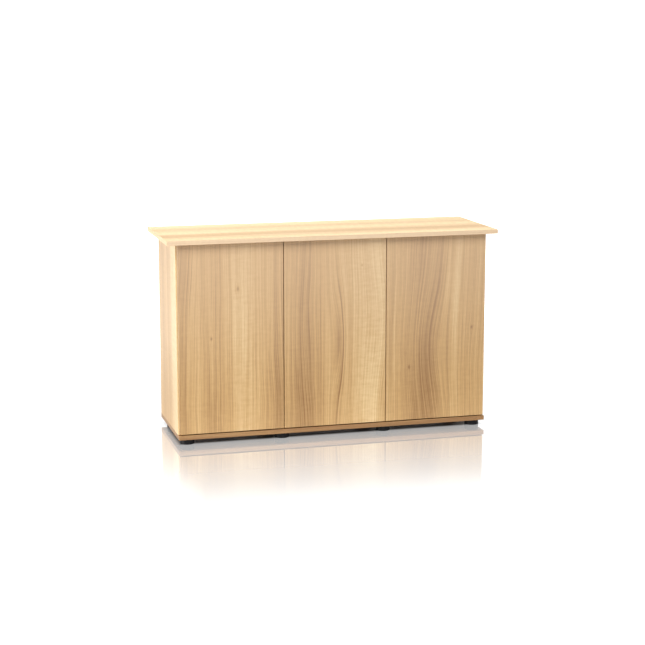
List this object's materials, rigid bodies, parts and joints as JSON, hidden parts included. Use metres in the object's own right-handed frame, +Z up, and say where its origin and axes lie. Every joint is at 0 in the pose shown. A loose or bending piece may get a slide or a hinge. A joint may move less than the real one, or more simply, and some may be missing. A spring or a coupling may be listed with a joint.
{
  "type": "aquarium stand cabinet",
  "caption": "Low cabinet for an aquarium: overhanging tank board, full-overlay doors on cup hinges with push latches, bays with shelves, and round feet.",
  "frame": {"origin": "on the floor under the middle of the tank board", "axes": "+X to the right along the cabinet's length, +Y from the doors to the back, +Z up"},
  "size_m": [1.21, 0.41, 0.73],
  "materials": {
    "wood_decor": "matt melamine with a light wood grain",
    "hardboard": "smooth brown hardboard",
    "black_plastic": "moulded satin",
    "grey_plastic": "moulded satin",
    "white_plastic": "moulded satin",
    "beech_dowel": "plain turned beech",
    "cast_zinc": "cast zinc",
    "zinc_screw": "bright zinc plating",
    "nickel_steel": "nickel-plated pressed steel"
  },
  "bodies": {
    "carcass": {"top_board": "wood_decor", "base_board": "wood_decor", "side_panel_left": "wood_decor", "partition_left": "wood_decor", "partition_right": "wood_decor", "side_panel_right": "wood_decor", "back_panel_left": "hardboard", "back_panel_middle": "hardboard", "back_panel_right": "hardboard", "cam_bolts": "zinc_screw", "cam_locks": "cast_zinc", "dowels": "beech_dowel", "base_screws": "zinc_screw", "fitting_screws": "zinc_screw", "arm_screws": "zinc_screw", "foot_screws": "zinc_screw", "back_nails": "zinc_screw", "shelf_pins": "nickel_steel", "front_foot_1": "black_plastic", "front_foot_2": "black_plastic", "front_foot_3": "black_plastic", "front_foot_4": "black_plastic", "rear_foot_1": "black_plastic", "rear_foot_2": "black_plastic", "rear_foot_3": "black_plastic", "rear_foot_4": "black_plastic", "left_hinge_arms": "nickel_steel", "left_hinge_plates": "nickel_steel", "latch_housing_left": "grey_plastic", "middle_hinge_arms": "nickel_steel", "middle_hinge_plates": "nickel_steel", "latch_housing_middle": "grey_plastic", "right_hinge_arms": "nickel_steel", "right_hinge_plates": "nickel_steel", "latch_housing_right": "grey_plastic"},
    "left_door": {"door_left": "wood_decor", "left_hinge_cups": "nickel_steel", "door_left_screws": "zinc_screw", "strike_plate_left": "nickel_steel"},
    "left_inner_link": {"left_inner_links": "nickel_steel"},
    "left_outer_link": {"left_outer_links": "nickel_steel"},
    "left_plunger": {"latch_plunger_left": "white_plastic"},
    "middle_door": {"door_middle": "wood_decor", "middle_hinge_cups": "nickel_steel", "door_middle_screws": "zinc_screw", "strike_plate_middle": "nickel_steel"},
    "middle_inner_link": {"middle_inner_links": "nickel_steel"},
    "middle_outer_link": {"middle_outer_links": "nickel_steel"},
    "middle_plunger": {"latch_plunger_middle": "white_plastic"},
    "right_door": {"door_right": "wood_decor", "right_hinge_cups": "nickel_steel", "door_right_screws": "zinc_screw", "strike_plate_right": "nickel_steel"},
    "right_inner_link": {"right_inner_links": "nickel_steel"},
    "right_outer_link": {"right_outer_links": "nickel_steel"},
    "right_plunger": {"latch_plunger_right": "white_plastic"},
    "left_shelf": {"shelf_left": "wood_decor"},
    "right_shelf": {"shelf_right": "wood_decor"}
  },
  "joints": [
    {"name": "left_door_swing", "type": "hinge", "parent": "carcass", "child": "left_door", "pos_m": [-0.56625, -0.1855, 0], "axis": [0, 0, -1], "range_deg": [0, 110]},
    {"name": "left_inner_link_swing", "type": "hinge", "parent": "carcass", "child": "left_inner_link", "pos_m": [-0.54625, -0.1635, 0], "axis": [0, 0, -1], "range_deg": [0, 110]},
    {"name": "left_outer_link_fold", "type": "hinge", "parent": "left_inner_link", "child": "left_outer_link", "pos_m": [-0.52225, -0.1495, 0], "axis": [0, 0, -1], "range_deg": [-110, 0]},
    {"name": "left_latch_press", "type": "slide", "parent": "carcass", "child": "left_plunger", "axis": [0, 1, 0], "range_m": [0, 0.002], "stiffness_N_per_m": 800, "springref_m": -0.002},
    {"name": "middle_door_swing", "type": "hinge", "parent": "carcass", "child": "middle_door", "pos_m": [0.18775, -0.1855, 0], "axis": [0, 0, 1], "range_deg": [0, 110]},
    {"name": "middle_inner_link_swing", "type": "hinge", "parent": "carcass", "child": "middle_inner_link", "pos_m": [0.16775, -0.1635, 0], "axis": [0, 0, 1], "range_deg": [0, 110]},
    {"name": "middle_outer_link_fold", "type": "hinge", "parent": "middle_inner_link", "child": "middle_outer_link", "pos_m": [0.14375, -0.1495, 0], "axis": [0, 0, 1], "range_deg": [-110, 0]},
    {"name": "middle_latch_press", "type": "slide", "parent": "carcass", "child": "middle_plunger", "axis": [0, 1, 0], "range_m": [0, 0.002], "stiffness_N_per_m": 800, "springref_m": -0.002},
    {"name": "right_door_swing", "type": "hinge", "parent": "carcass", "child": "right_door", "pos_m": [0.56625, -0.1855, 0], "axis": [0, 0, 1], "range_deg": [0, 110]},
    {"name": "right_inner_link_swing", "type": "hinge", "parent": "carcass", "child": "right_inner_link", "pos_m": [0.54625, -0.1635, 0], "axis": [0, 0, 1], "range_deg": [0, 110]},
    {"name": "right_outer_link_fold", "type": "hinge", "parent": "right_inner_link", "child": "right_outer_link", "pos_m": [0.52225, -0.1495, 0], "axis": [0, 0, 1], "range_deg": [-110, 0]},
    {"name": "right_latch_press", "type": "slide", "parent": "carcass", "child": "right_plunger", "axis": [0, 1, 0], "range_m": [0, 0.002], "stiffness_N_per_m": 800, "springref_m": -0.002},
    {"name": "left_shelf_lift", "type": "slide", "parent": "carcass", "child": "left_shelf", "axis": [0, 0, 1], "range_m": [0, 0.02]},
    {"name": "right_shelf_lift", "type": "slide", "parent": "carcass", "child": "right_shelf", "axis": [0, 0, 1], "range_m": [0, 0.02]}
  ],
  "couplings": [
    {"joint": "left_inner_link_swing", "follows": "left_door_swing", "ratio": 1},
    {"joint": "left_outer_link_fold", "follows": "left_door_swing", "ratio": -1},
    {"joint": "middle_inner_link_swing", "follows": "middle_door_swing", "ratio": 1},
    {"joint": "middle_outer_link_fold", "follows": "middle_door_swing", "ratio": -1},
    {"joint": "right_inner_link_swing", "follows": "right_door_swing", "ratio": 1},
    {"joint": "right_outer_link_fold", "follows": "right_door_swing", "ratio": -1}
  ]
}
